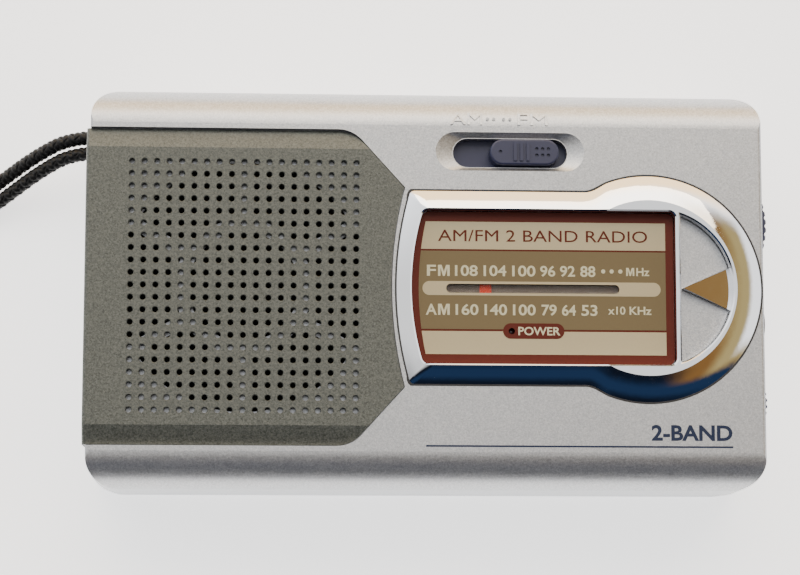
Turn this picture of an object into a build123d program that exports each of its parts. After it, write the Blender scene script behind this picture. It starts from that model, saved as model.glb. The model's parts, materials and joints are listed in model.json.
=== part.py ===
from build123d import *
import math
import os

# A pocket AM/FM radio lying on its back.  Millimetres.  +X runs along the case
# towards the thumbwheels, +Y towards its top edge, +Z out of its front face.
# The layout below counts X from a line just inside the dial's left edge; the
# finished parts are moved so that the origin is the centre of the back face.

# ---- case ----
CASE_W = 116.0
CASE_H = 69.0
CASE_D = 27.0
MIDDLE_X = -1.0
RIGHT_X = MIDDLE_X + CASE_W / 2
LEFT_X = MIDDLE_X - CASE_W / 2
WALL = 1.8
CORNER_R = 5.5
FRONT_EDGE_R = 6.5
REAR_EDGE_R = 2.5
END_EDGE_R = 0.9
DRAFT = 1.5
PARTING_Z = 12.5
PARTING_GROOVE = 0.35
CEILING_Z = 24.4
POCKET_Z = 25.4
FIT = 0.15

# ---- speaker and grille ----
SPEAKER_X = -32.4
SPEAKER_R = 24.5
HOLE_PITCH = 2.122
HOLE_COLUMNS = 19
HOLE_ROWS = 21
HOLE_R = 0.48
HOLE_RIM = 0.12
GRILLE_HALF_H = 27.0
GRILLE_LEFT = -59.3
GRILLE_TOP_Z = 27.2
GRILLE_EDGE_Z = 26.1
GRILLE_FLAT_HALF_H = 23.7
SKIRT_Z = 18.0
SKIRT_X = -58.0
RING_IN_R = 9.4
RING_OUT_R = 11.7
GRILLE_OPEN_R = 21.4
SPOKE_W = 2.1

# ---- dial and bezel ----
BEZEL_CROWN = ((0.0, 27.0), (1.2, 27.7), (2.6, 28.2), (4.4, 28.6))
BEZEL_RIM = 27.2
BEZEL_CHAMFER = 0.25
BEZEL_HALF_H = 16.6
BEZEL_CIRCLE_X = 36.7
BEZEL_CIRCLE_R = 19.5
BEZEL_S_START = 25.8
BEZEL_S_ANGLE = 110
WINDOW_HALF_H = 13.2
WINDOW_RIGHT = 41.3
D_LEFT = 42.1
D_CIRCLE_X = 37.7
D_CIRCLE_R = 13.5
D_FLOOR_Z = 26.2
WEDGE_TIP_X = 42.6
WEDGE_END_X = 50.4
WEDGE_HALF_H = 3.5
WEDGE_TIP_Z = 28.4
WEDGE_TILT = 9
PLATE_Z = 26.4
SLOT_X = (2.1, 31.8)
SLOT_Y = (-0.88, 0.67)
LED_AT = (13.3, -7.4)
LED_R = 1.5
LED_HOLE_R = 0.55

# ---- tuning drive ----
TUNING_AT = (RIGHT_X - 12.3, 12.0)
TUNING_R = 13.8
TUNING_Z = (19.2, 21.2)
DRUM_R = 8.7
DRUM_TOP_Z = 24.0
CORD_Z = 22.8
CORD_R = 0.3
PULLEY_AT = (-2.2, 7.5)
PULLEY_R = 4.2
POINTER_REST_X = 8.9
POINTER_W = 2.0
FLAG_Z = (25.1, 25.35)
RAIL_Y = -1.0
RAIL_Z = 22.6
RAIL_R = 0.6
RAIL_X = (-2.4, 36.0)
RUNNING = 0.05

# ---- volume control ----
VOLUME_AT = (RIGHT_X - 7.25, -19.2)
VOLUME_R = 8.0
VOLUME_Z = (20.9, 23.1)
POT_R = 7.4

# ---- band switch ----
SWITCH_X = (3.3, 23.0)
SWITCH_Y = (20.9, 25.9)
SWITCH_RECESS = 0.7
RECESS_X = (0.3, 25.9)
RECESS_Y = (20.2, 26.9)
KNOB_X = (9.6, 21.5)
KNOB_Y = (21.2, 25.7)
KNOB_TOP_Z = 27.5

# ---- board, battery, jack ----
BOARD_Z = (17.7, 18.9)
BOARD_X = (-6.5, RIGHT_X - 2.6)
BOARD_Y = (-31.0, 26.4)
CELL_R = 7.15
CELL_L = 50.5
CELL_Z = 9.2
CELL_Y = (-9.6, -24.9)
BAY_X = (RIGHT_X - 60.3, RIGHT_X - 1.8)
BAY_Y = (-32.7, -1.7)
BAY_ROOF_Z = (16.7, 17.5)
BAY_WALL = 1.2
DOOR_X = (RIGHT_X - 58.8, RIGHT_X - 4.4)
DOOR_TOP_Y = -2.8
DOOR_Z = (0.1, 1.6)
JACK_Y = -5.6
JACK_Z = 21.6
JACK_R = 1.8
JACK_L = 12.0
JACK_NOSE_R = 3.0
JACK_MOUTH_X = RIGHT_X + 0.3

# ---- telescopic aerial ----
AERIAL_Y = 31.4
AERIAL_Z = 4.75
AERIAL_PIVOT_X = RIGHT_X - 8.5
AERIAL_SCREW_R = 1.2
AERIAL_RADII = (2.5, 2.0, 1.5, 1.0)
AERIAL_GAP = 0.08
AERIAL_START_X = RIGHT_X - 13.0
AERIAL_END_X = -40.0
CHANNEL_Y = 28.7
CHANNEL_Z = (1.6, 7.9)
CHANNEL_ROOF = 1.1

# ---- fasteners ----
CASE_SCREWS_AT = ((-53.0, -28.5), (-53.2, 19.5), (-8.0, -29.5), (26.8, 12.4))
BOARD_SCREWS_AT = ((-3.5, 16.6), (31.5, 23.6))
SPEAKER_SCREW_R = 27.0
SPEAKER_SCREW_ANGLES = (60, 120, 240, 300)
SCREW_R = 1.1
BOSS_SPLIT_Z = 9.0

# ---- wrist strap, two legs of one cord, as a list of points chosen by hand ----
STRAP_R = 1.3
STRAP_Y = 27.0
STRAP_Z = 10.9
STRAP_POINTS = (
    (-57.0, 28.4, 10.9),
    (-63.1, 28.4, 10.9),
    (-69.9, 25.2, 8.3),
    (-76.0, 21.4, 4.6),
    (-82.4, 17.3, 1.3),
    (-89.8, 12.1, 1.3),
    (-97.0, 5.2, 1.3),
    (-103.4, -4.9, 1.3),
    (-108.5, -16.0, 1.3),
    (-113.2, -27.0, 1.3),
    (-116.0, -38.5, 1.3),
    (-114.6, -50.0, 1.3),
    (-107.2, -57.4, 1.3),
    (-97.5, -56.2, 1.3),
    (-91.5, -47.2, 1.3),
    (-91.0, -35.6, 1.3),
    (-93.5, -24.3, 1.3),
    (-95.0, -13.0, 1.3),
    (-93.0, -2.0, 1.3),
    (-87.4, 7.6, 1.3),
    (-80.8, 15.0, 1.3),
    (-74.6, 19.0, 4.6),
    (-68.7, 22.7, 8.3),
    (-62.5, 25.6, 10.9),
    (-57.0, 25.6, 10.9),
)


def box(x, y, z):
    """A box between two values along each axis."""
    size = (x[1] - x[0], y[1] - y[0], z[1] - z[0])
    low = Pos(x[0], y[0], z[0])
    return low * Box(*size, align=(Align.MIN, Align.MIN, Align.MIN))


def rod(x, y, z, radius):
    """An upright cylinder at a place, between two heights."""
    low = Pos(x, y, z[0])
    return low * Cylinder(radius, z[1] - z[0], align=(Align.CENTER, Align.CENTER, Align.MIN))


def bar(x, y, z, radius):
    """A cylinder along X between two places."""
    turned = Pos(x[0], y, z) * Rot(0, 90, 0)
    return turned * Cylinder(radius, x[1] - x[0], align=(Align.CENTER, Align.CENTER, Align.MIN))


def upright(face, low, high):
    """A flat outline drawn at z = 0, raised between two heights."""
    return extrude(Pos(0, 0, low) * face, high - low)


def union(shapes):
    """All shapes of a list, joined."""
    shapes = list(shapes)
    return shapes[0].fuse(*shapes[1:]) if len(shapes) > 1 else shapes[0]


def revolved(points):
    """A ring or cup whose half section is a polygon of radius and height."""
    section = make_face(Polyline(*[(r, 0, z) for r, z in points], close=True))
    return revolve(section, Axis.Z)


def case_block(inset, low, high):
    """The case's outer form drawn in by an inset, between two heights."""
    width = CASE_W - 2 * inset
    height = CASE_H - 2 * inset
    plan = Pos(0, 0, PARTING_Z) * RectangleRounded(width, height, CORNER_R - inset)
    body = extrude(plan, CASE_D - PARTING_Z, taper=DRAFT)
    body += extrude(plan, PARTING_Z, dir=(0, 0, -1), taper=DRAFT)
    for plane, span, front_r in ((Plane.YZ, height, FRONT_EDGE_R), (Plane.XZ, width, END_EDGE_R)):
        section = plane * Pos(0, (low + high) / 2) * Rectangle(span, high - low)
        corners = section.vertices().sort_by(Axis.Z)
        section = fillet(corners[2:], max(front_r - inset, 0.4))
        section = fillet(section.vertices().sort_by(Axis.Z)[:2], max(REAR_EDGE_R - inset, 0.4))
        body &= extrude(section, CASE_W, both=True)
    return Pos(MIDDLE_X, 0, 0) * body


def grille_outline():
    """Plan of the speaker panel: square at the left, a point above and below at the right."""
    tip = (-5.1, 17.1)
    slope_top = (-14.05, GRILLE_HALF_H)
    left = GRILLE_LEFT
    upper = Polyline((left, 0), (left, GRILLE_HALF_H), slope_top, tip)
    lower = mirror(upper, Plane.XZ)
    hollow = ThreePointArc(tip, (-7.3, 0), (tip[0], -tip[1]))
    face = make_face(upper.edges() + lower.edges() + hollow.edges())
    turns = [v for v in face.vertices() if abs(v.X - slope_top[0]) < 0.01]
    return fillet(turns, 5.3)


def bezel_outline(grow=0.0):
    """Plan of the chrome bezel: a band that runs into a round end, optionally grown."""
    half = BEZEL_HALF_H + grow
    radius = BEZEL_CIRCLE_R + grow
    turn = math.radians(BEZEL_S_ANGLE)
    meet = (BEZEL_CIRCLE_X + radius * math.cos(turn), radius * math.sin(turn))
    corner = (-4.0 - grow, half)
    top = Line(corner, (BEZEL_S_START, half))
    sweep_up = Spline(top @ 1, meet, tangents=((1, 0), (math.sin(turn), -math.cos(turn))))
    half_round = ThreePointArc(meet, (BEZEL_CIRCLE_X + radius, 0), (meet[0], -meet[1]))
    left = ThreePointArc(corner, (-6.4 - grow, 0), (corner[0], -corner[1]))
    lower = [mirror(edge, Plane.XZ) for edge in (top, sweep_up)]
    edges = [top, sweep_up, half_round, left] + lower
    face = make_face([e for line in edges for e in line.edges()])
    corners = [v for v in face.vertices() if v.X < BEZEL_S_START / 2]
    return fillet(corners, 1.0)


def window_outline(shrink=0.0):
    """Plan of the opening for the dial plate, optionally drawn in."""
    half = WINDOW_HALF_H - shrink
    right = WINDOW_RIGHT - shrink
    left = -1.9 + shrink
    bulge = -3.9 + shrink
    outline = Polyline((left, half), (right, half), (right, -half), (left, -half))
    curve = ThreePointArc((left, half), (bulge, 0), (left, -half))
    face = make_face(outline.edges() + curve.edges())
    return fillet(face.vertices(), 1.2)


def d_outline(grow=0.0):
    """Plan of the D-shaped opening beside the dial, without the wedge."""
    disc = Pos(D_CIRCLE_X, 0) * Circle(D_CIRCLE_R + grow)
    right_part = Pos(D_LEFT - grow + 20, 0) * Rectangle(40, 40)
    return disc & right_part


def wedge_outline(grow=0.0):
    """Plan of the wedge that points from the round end to the dial."""
    tip = (WEDGE_TIP_X - 2 * grow, 0)
    slope = WEDGE_HALF_H / (WEDGE_END_X - WEDGE_TIP_X)
    end_x = WEDGE_END_X + 3
    half = slope * (end_x - tip[0]) + grow
    return make_face(Polyline(tip, (end_x, half), (end_x, -half), close=True))


def stadium(x, y, grow=0.0):
    """A slot outline with round ends, from its limits along X and Y."""
    height = y[1] - y[0] + 2 * grow
    length = x[1] - x[0] + 2 * grow
    middle = Pos((x[0] + x[1]) / 2, (y[0] + y[1]) / 2)
    return middle * RectangleRounded(length, height, height / 2 - 0.01)


def spoke(angle):
    """One spoke of the speaker opening, across its outer ring."""
    length = GRILLE_OPEN_R - RING_OUT_R + 2
    reach = (RING_OUT_R + GRILLE_OPEN_R) / 2
    beam = Pos(reach, 0, CEILING_Z) * Box(length, SPOKE_W, 4)
    return Pos(SPEAKER_X, 0, 0) * Rot(0, 0, angle) * beam


def speaker_openings():
    """The round and ring-shaped openings in the front wall before the speaker."""
    span = (CEILING_Z - 1, POCKET_Z + 1)
    ring = rod(SPEAKER_X, 0, span, GRILLE_OPEN_R) - rod(SPEAKER_X, 0, span, RING_OUT_R)
    for index in range(6):
        ring -= spoke(30 + 60 * index)
    return [rod(SPEAKER_X, 0, span, RING_IN_R)] + list(ring.solids())


def speaker_screw_places():
    """Centres of the screws that hold the speaker."""
    places = []
    for angle in SPEAKER_SCREW_ANGLES:
        turn = math.radians(angle)
        places.append((SPEAKER_X + SPEAKER_SCREW_R * math.cos(turn), SPEAKER_SCREW_R * math.sin(turn)))
    return places


def wheel_slot(centre, radius, heights):
    """The slot in the end wall that a thumbwheel stands out of."""
    reach = RIGHT_X - WALL - centre[0]
    half = math.sqrt((radius + 0.4) ** 2 - reach ** 2) + 0.2
    y = (centre[1] - half, centre[1] + half)
    return box((RIGHT_X - WALL - 1, RIGHT_X + 3), y, (heights[0] - 0.3, heights[1] + 0.3))


def front_case():
    """The front shell, with pockets for the panel and the bezel and all its bosses."""
    shell = case_block(0, 0, CASE_D)
    shell &= box((-80, 80), (-50, 50), (PARTING_Z, CASE_D + 1))
    shell -= case_block(WALL, WALL, CEILING_Z)
    grille_pocket = upright(offset(grille_outline(), FIT), POCKET_Z, CASE_D + 2)
    skirt_y = (-GRILLE_HALF_H - FIT, GRILLE_HALF_H + FIT)
    skirt_pocket = box((LEFT_X - 2, SKIRT_X + FIT), skirt_y, (SKIRT_Z - FIT, CASE_D + 2))
    island = d_outline(-FIT) - wedge_outline(FIT)
    bezel_pocket = upright(bezel_outline(FIT), POCKET_Z, CASE_D + 2)
    bezel_pocket -= upright(island, POCKET_Z - 1, D_FLOOR_Z)
    recess = loft([
        Pos(0, 0, CASE_D - SWITCH_RECESS) * stadium(SWITCH_X, SWITCH_Y, 0.1),
        Pos(0, 0, CASE_D) * stadium(RECESS_X, RECESS_Y),
    ])
    slot = upright(stadium(SWITCH_X, SWITCH_Y), CEILING_Z - 1, CASE_D + 1)
    pointer_slot = box((0.4, 33.6), (-2.95, -1.45), (CEILING_Z - 1, POCKET_Z + 1))
    pointer_track = box((0.2, 33.8), (-2.95, 1.35), (24.9, POCKET_Z + 1))
    led_hole = rod(*LED_AT, (CEILING_Z - 1, POCKET_Z + 1), LED_R + 0.1)
    wheels = [
        wheel_slot(TUNING_AT, TUNING_R, TUNING_Z),
        wheel_slot(VOLUME_AT, VOLUME_R, VOLUME_Z),
    ]
    jack_hole = bar((RIGHT_X - 4, RIGHT_X + 3), JACK_Y, JACK_Z, JACK_NOSE_R + 0.05)
    cuts = [grille_pocket, skirt_pocket, bezel_pocket, recess, slot, pointer_slot]
    cuts += [pointer_track, led_hole, jack_hole] + wheels + speaker_openings()
    shell = shell.cut(*cuts)
    bosses = [rod(x, y, (BOSS_SPLIT_Z, CEILING_Z + 0.2), 2.6) for x, y in CASE_SCREWS_AT]
    bosses += [rod(x, y, (BOARD_Z[1], CEILING_Z + 0.2), 1.8) for x, y in BOARD_SCREWS_AT]
    for x in (RAIL_X[0] + 0.3, RAIL_X[1] - 1.5):
        bosses.append(box((x, x + 1.2), (RAIL_Y - 1.2, RAIL_Y + 1.2), (21.4, CEILING_Z + 0.1)))
    seat = rod(SPEAKER_X, 0, (21.4, CEILING_Z + 0.1), SPEAKER_R + 1.2)
    seat -= rod(SPEAKER_X, 0, (21, CEILING_Z + 1), SPEAKER_R + 0.2)
    for x, y in speaker_screw_places():
        seat -= rod(x, y, (21, CEILING_Z - 1.0), 3.9)
    seat &= case_block(WALL - 0.2, 0, CASE_D)
    shell = shell.fuse(*bosses, *seat.solids())
    holes = [rod(x, y, (BOSS_SPLIT_Z - 1, 20), SCREW_R) for x, y in CASE_SCREWS_AT]
    holes += [rod(x, y, (BOARD_Z[1] - 1, 23), SCREW_R * 0.8) for x, y in BOARD_SCREWS_AT]
    holes += [rod(x, y, (22, POCKET_Z - 0.4), 0.8) for x, y in speaker_screw_places()]
    holes.append(bar(RAIL_X, RAIL_Y, RAIL_Z, RAIL_R))
    return shell.cut(*holes)


def rear_case():
    """The rear shell, with the battery bay, the aerial channel and the screw bosses."""
    below_parting = box((-80, 80), (-50, 50), (-1, PARTING_Z))
    outer = case_block(0, 0, CASE_D) & below_parting
    hollow = case_block(WALL, WALL, CEILING_Z)
    shell = outer - hollow
    bay = box((BAY_X[0] - BAY_WALL, RIGHT_X - 1), (-33.5, BAY_Y[1] + BAY_WALL), (WALL - 0.5, BAY_ROOF_Z[1]))
    bay -= box(BAY_X, BAY_Y, (0, BAY_ROOF_Z[0]))
    bay_low = bay & below_parting & case_block(WALL - 0.1, 0, CEILING_Z)
    bay_high = bay & case_block(WALL + 0.1, 0, CEILING_Z)
    roof_z = CHANNEL_Z[1] + CHANNEL_ROOF
    channel_block = box((LEFT_X - 1, RIGHT_X + 1), (CHANNEL_Y - WALL, 40), (0, roof_z))
    bosses = [rod(x, y, (0.5, BOSS_SPLIT_Z), 3.2) for x, y in CASE_SCREWS_AT]
    shell = shell.fuse(bay_low, bay_high, channel_block & outer, *[boss & outer for boss in bosses])
    groove = outer & box((-80, 80), (-50, 50), (PARTING_Z - PARTING_GROOVE, PARTING_Z + 1))
    groove -= case_block(PARTING_GROOVE, 0, CASE_D)
    door_gap = box(DOOR_X, (-40, DOOR_TOP_Y), (-1, WALL + 0.1))
    tongue_x = (DOOR_X[0] - 1.15, DOOR_X[1] + 1.15)
    door_track = box(tongue_x, (-40, DOOR_TOP_Y - 1.5), (0.8, WALL + 0.1))
    channel = box((LEFT_X - 5, RIGHT_X + 5), (CHANNEL_Y, 40), CHANNEL_Z)
    slot_y = (STRAP_Y - 2.95, STRAP_Y + 2.95)
    strap_slot = box((LEFT_X - 2, LEFT_X + 3), slot_y, (STRAP_Z - 1.6, PARTING_Z + 0.1))
    pivot_hole = rod(AERIAL_PIVOT_X, AERIAL_Y, (-1, 11), AERIAL_SCREW_R)
    pivot_head = rod(AERIAL_PIVOT_X, AERIAL_Y, (-1, 1.1), 2.3)
    cuts = [groove, door_gap, door_track, channel, strap_slot, pivot_hole, pivot_head]
    cuts += [rod(x, y, (-1, BOSS_SPLIT_Z + 1), SCREW_R) for x, y in CASE_SCREWS_AT]
    cuts += [rod(x, y, (-1, 5.0), 2.4) for x, y in CASE_SCREWS_AT]
    return shell.cut(*cuts)


def battery_door():
    """The sliding door, flush with the case, with a tongue along each end and a thumb grip."""
    x = (DOOR_X[0] + FIT, DOOR_X[1] - FIT)
    plate = box(x, (-40, DOOR_TOP_Y - FIT), DOOR_Z) & case_block(0, 0, CASE_D)
    tongues = box((DOOR_X[0] - 1.0, DOOR_X[1] + 1.0), (-31, DOOR_TOP_Y - 3), (0.95, DOOR_Z[1]))
    door = plate + tongues
    middle = (DOOR_X[0] + DOOR_X[1]) / 2
    grip_x = (middle - 5.5, middle + 5.5)
    for index in range(5):
        y = -24 + 1.6 * index
        door -= box(grip_x, (y, y + 0.7), (-1, 0.5))
    return door


def speaker_grille():
    """The perforated panel: flat in the middle, sloping bands above and below, a left skirt."""
    plate = upright(grille_outline(), POCKET_Z, GRILLE_TOP_Z)
    half = GRILLE_HALF_H + 1
    drop = (GRILLE_TOP_Z - GRILLE_EDGE_Z) / (GRILLE_HALF_H - GRILLE_FLAT_HALF_H)
    low = GRILLE_TOP_Z - drop * (half - GRILLE_FLAT_HALF_H)
    section = Polyline(
        (0, -half, POCKET_Z - 1), (0, -half, low), (0, -GRILLE_FLAT_HALF_H, GRILLE_TOP_Z),
        (0, GRILLE_FLAT_HALF_H, GRILLE_TOP_Z), (0, half, low), (0, half, POCKET_Z - 1), close=True,
    )
    plate &= extrude(make_face(section), 70, both=True)
    skirt = box((GRILLE_LEFT, SKIRT_X), (-GRILLE_HALF_H, GRILLE_HALF_H), (SKIRT_Z, POCKET_Z + 0.3))
    panel = plate + skirt
    end_edges = panel.edges().filter_by(lambda e: abs(e.center().X - GRILLE_LEFT) < 0.01)
    top_edges = [e for e in end_edges if e.center().Z > 26 and abs(e.center().Y) < 26.9]
    panel = fillet(top_edges, 0.6)
    punches = []
    for column in range(HOLE_COLUMNS):
        for row in range(HOLE_ROWS):
            x = SPEAKER_X + (column - (HOLE_COLUMNS - 1) / 2) * HOLE_PITCH
            y = (row - (HOLE_ROWS - 1) / 2) * HOLE_PITCH
            punches.append(rod(x, y, (POCKET_Z - 0.5, GRILLE_TOP_Z + 0.5), HOLE_R))
            rim = Pos(x, y, GRILLE_TOP_Z - HOLE_RIM / 2 + 0.01)
            punches.append(rim * Cone(HOLE_R, HOLE_R + HOLE_RIM, HOLE_RIM))
    return panel.cut(*punches)


def dial_bezel():
    """The chrome bezel: a crowned band with the dial window, the D opening and the wedge."""
    sections = [Pos(0, 0, z) * bezel_outline(-inset) for inset, z in BEZEL_CROWN]
    band = upright(bezel_outline(), POCKET_Z, BEZEL_CROWN[0][1]) + loft(sections)
    over = BEZEL_CROWN[-1][1] + 1
    band -= upright(window_outline(), POCKET_Z - 1, over)
    band -= upright(d_outline() - wedge_outline(), POCKET_Z - 1, over)
    above_wedge = Pos(WEDGE_TIP_X, 0, WEDGE_TIP_Z) * Rot(0, WEDGE_TILT, 0)
    above_wedge *= Box(20, 20, 8, align=(Align.CENTER, Align.CENTER, Align.MIN))
    band -= above_wedge & upright(d_outline() & wedge_outline(), POCKET_Z, over)
    rims = []
    for face in band.faces():
        if abs(face.normal_at().Z) < 0.02 and face.bounding_box().max.Z > BEZEL_RIM:
            boxes = [(edge, edge.bounding_box()) for edge in face.edges()]
            rims += [edge for edge, limits in boxes if limits.min.Z > BEZEL_RIM and limits.size.Z < 0.8]
    return chamfer(rims, BEZEL_CHAMFER)


def dial_plate():
    """The printed dial plate, with the pointer slot and the lamp hole."""
    plate = upright(window_outline(0.08), POCKET_Z, PLATE_Z)
    slot = upright(stadium(SLOT_X, SLOT_Y), POCKET_Z - 1, PLATE_Z + 1)
    lamp = rod(*LED_AT, (POCKET_Z - 1, PLATE_Z + 1), LED_HOLE_R)
    return plate.cut(slot, lamp)


def dial_window():
    """The clear strip set in the dial plate's slot, over the pointer."""
    return upright(stadium(SLOT_X, SLOT_Y), POCKET_Z + 0.15, PLATE_Z - 0.25)


def dial_backing():
    """The dark strip behind the pointer."""
    return box((0.3, 33.7), (-1.4, 1.3), (24.9, 25.03))


def dial_pointer():
    """The pointer's carriage on its rail, its clip round the cord, its stem and its flag."""
    x = POINTER_REST_X
    carriage = box((x - 2.5, x + 2.5), (-2.7, 1.6), (21.5, 23.7))
    carriage += box((x - 1.0, x + 1.0), (1.5, 4.4), (21.5, 23.7))
    carriage -= bar((x - 3, x + 3), RAIL_Y, RAIL_Z, RAIL_R + RUNNING)
    cord_y = TUNING_AT[1] - DRUM_R
    carriage -= box((x - 3, x + 3), (cord_y - 0.6, cord_y + 0.6), (CORD_Z - 0.6, 24))
    half = POINTER_W / 2
    stem = box((x - half, x + half), (-2.7, -1.7), (23.2, 25.2))
    flag = box((x - half, x + half), (-2.7, 1.15), FLAG_Z)
    return carriage + stem + flag


def pointer_rail():
    """The steel rail that the pointer slides on."""
    return bar(RAIL_X, RAIL_Y, RAIL_Z, RAIL_R)


def dial_cord():
    """The endless cord round the tuning drum and the pulley."""
    big = Vector(*TUNING_AT)
    small = Vector(*PULLEY_AT)
    apart = big - small
    lean = math.asin((DRUM_R - PULLEY_R) / apart.length)
    course = math.atan2(apart.Y, apart.X)
    up = course + lean + math.pi / 2
    down = course - lean - math.pi / 2

    def on(centre, radius, angle):
        return (centre.X + radius * math.cos(angle), centre.Y + radius * math.sin(angle), CORD_Z)

    top = Line(on(small, PULLEY_R, up), on(big, DRUM_R, up))
    bottom = Line(on(big, DRUM_R, down), on(small, PULLEY_R, down))
    round_drum = ThreePointArc(top @ 1, on(big, DRUM_R, course), bottom @ 0)
    round_pulley = ThreePointArc(bottom @ 1, on(small, PULLEY_R, course + math.pi), top @ 0)
    path = Wire(top.edges() + round_drum.edges() + bottom.edges() + round_pulley.edges())
    section = Plane(origin=top @ 0.5, z_dir=top % 0.5) * Circle(CORD_R)
    return sweep(section, path=path)


def cord_pulley():
    """The grooved pulley at the cord's far end."""
    x, y = PULLEY_AT
    wheel = rod(x, y, (CORD_Z - 0.9, CORD_Z + 0.9), PULLEY_R + 0.7)
    groove = rod(x, y, (CORD_Z - 0.4, CORD_Z + 0.4), PULLEY_R + 2)
    groove -= rod(x, y, (CORD_Z - 0.4, CORD_Z + 0.4), PULLEY_R - CORD_R - 0.05)
    bore = rod(x, y, (CORD_Z - 2, CORD_Z + 2), 1.0 + RUNNING)
    return wheel - groove - bore


def pulley_pin():
    """The headed pin that the pulley turns on."""
    pin = rod(*PULLEY_AT, (20.9, CEILING_Z), 1.0)
    return pin + rod(*PULLEY_AT, (20.9, 21.7), 1.9)


def ribbed_disc(centre, radius, heights, ribs):
    """A thumbwheel rim with grooves across its edge."""
    disc = rod(*centre, heights, radius)
    disc = chamfer(disc.edges().filter_by(GeomType.CIRCLE), 0.25)
    cuts = []
    for index in range(ribs):
        turn = 2 * math.pi * index / ribs
        x = centre[0] + (radius + 0.12) * math.cos(turn)
        y = centre[1] + (radius + 0.12) * math.sin(turn)
        cuts.append(rod(x, y, (heights[0] - 1, heights[1] + 1), 0.42))
    return disc.cut(*cuts)


def tuning_wheel():
    """The tuning thumbwheel, with the cord drum on top of it."""
    wheel = ribbed_disc(TUNING_AT, TUNING_R, TUNING_Z, 60)
    wheel += rod(*TUNING_AT, (TUNING_Z[1] - 0.1, DRUM_TOP_Z), DRUM_R + 0.6)
    groove = rod(*TUNING_AT, (CORD_Z - 0.4, CORD_Z + 0.4), DRUM_R + 2)
    groove -= rod(*TUNING_AT, (CORD_Z - 0.4, CORD_Z + 0.4), DRUM_R - CORD_R - 0.05)
    wheel -= groove
    wheel -= rod(*TUNING_AT, (TUNING_Z[0] - 1, 22.6), 3.0)
    wheel -= rod(*TUNING_AT, (TUNING_Z[0] - 1, DRUM_TOP_Z + 1), 1.3)
    return wheel - rod(*TUNING_AT, (23.2, DRUM_TOP_Z + 1), 2.3)


def cross_screw(x, y, z, shank_r, head_r, head_h):
    """A screw pointing down from its head's top, with a cross slot."""
    top = z[1]
    screw = rod(x, y, z, shank_r) + rod(x, y, (top - head_h, top), head_r)
    reach = head_r * 0.62
    depth = (top - head_h * 0.55, top + 1)
    screw -= box((x - reach, x + reach), (y - 0.2, y + 0.2), depth)
    return screw - box((x - 0.2, x + 0.2), (y - reach, y + reach), depth)


def screw_from_back(x, y, z, shank_r, head_r, head_h):
    """A screw pointing up from its head, with a cross slot in the underside."""
    low = z[0]
    screw = rod(x, y, z, shank_r) + rod(x, y, (low, low + head_h), head_r)
    reach = head_r * 0.62
    depth = (low - 1, low + head_h * 0.55)
    screw -= box((x - reach, x + reach), (y - 0.2, y + 0.2), depth)
    return screw - box((x - 0.2, x + 0.2), (y - reach, y + reach), depth)


def tuning_shaft():
    """The capacitor's shaft, tapped for the wheel's screw."""
    return rod(*TUNING_AT, (12.0, 22.6), 3.0) - rod(*TUNING_AT, (18.0, 23), 1.3)


def tuning_capacitor():
    """The variable capacitor's square body, with its shaft bore and trimmer screws."""
    x, y = TUNING_AT
    body = box((x - 8, x + 8), (y - 8, y + 8), (7.7, BOARD_Z[0]))
    body = chamfer(body.edges().filter_by(Axis.Z), 0.8)
    body -= rod(x, y, (11.5, 20), 3.0 + RUNNING)
    for dx, dy in ((-5, -5), (5, -5), (-5, 5), (5, 5)):
        slotted = box((x - 9, x + 9), (y + dy - 0.25, y + dy + 0.25), (7.9, 9))
        body -= rod(x + dx, y + dy, (7, 8.5), 1.4) - slotted
    return body


def volume_wheel():
    """The volume thumbwheel."""
    wheel = ribbed_disc(VOLUME_AT, VOLUME_R, VOLUME_Z, 44)
    wheel -= rod(*VOLUME_AT, (VOLUME_Z[0] - 1, 22.2), 2.5)
    wheel -= rod(*VOLUME_AT, (VOLUME_Z[0] - 1, 24), 1.0)
    return wheel - rod(*VOLUME_AT, (22.5, 24), 2.1)


def volume_shaft():
    """The volume control's shaft, tapped for the wheel's screw."""
    return rod(*VOLUME_AT, (19.1, 22.2), 2.5) - rod(*VOLUME_AT, (20.0, 23), 1.0)


def volume_pot():
    """The volume control's flat round body, with its terminals."""
    x, y = VOLUME_AT
    body = rod(x, y, (BOARD_Z[1], 20.6), POT_R) & box((x - 12, RIGHT_X - 2.3), (-40, 0), (0, 30))
    body -= rod(x, y, (19.0, 22), 2.5 + RUNNING)
    for offset_y in (-4, -2, 0, 2, 4):
        body += box((x - 9.2, x - 6.2), (y + offset_y - 0.5, y + offset_y + 0.5), (BOARD_Z[1], 19.3))
    return body


def circuit_board():
    """The circuit board, with its holes."""
    board = box(BOARD_X, BOARD_Y, BOARD_Z)
    board = fillet(board.edges().filter_by(Axis.Z), 1.5)
    cuts = [rod(x, y, (17, 20), 3.0) for x, y in CASE_SCREWS_AT]
    cuts += [rod(x, y, (17, 20), SCREW_R) for x, y in BOARD_SCREWS_AT]
    cuts.append(rod(*TUNING_AT, (17, 20), 4.0))
    cuts.append(rod(SPEAKER_X, 0, (17, 20), SPEAKER_R + 1))
    return board.cut(*cuts)


def band_switch_body():
    """The slide switch's metal can, open above for its slider, with its legs."""
    can = box((4.6, 24.4), (19.3, 27.0), (BOARD_Z[1], 23.4))
    can = fillet(can.edges().filter_by(Axis.Z), 0.6)
    can -= box((5.4, 23.6), (22.0, 24.9), (20.5, 24))
    legs = []
    for index in range(4):
        x = 7.0 + 5.0 * index
        legs.append(box((x, x + 0.8), (18.5, 19.5), (BOARD_Z[1], BOARD_Z[1] + 0.3)))
    return can.fuse(*legs)


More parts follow.
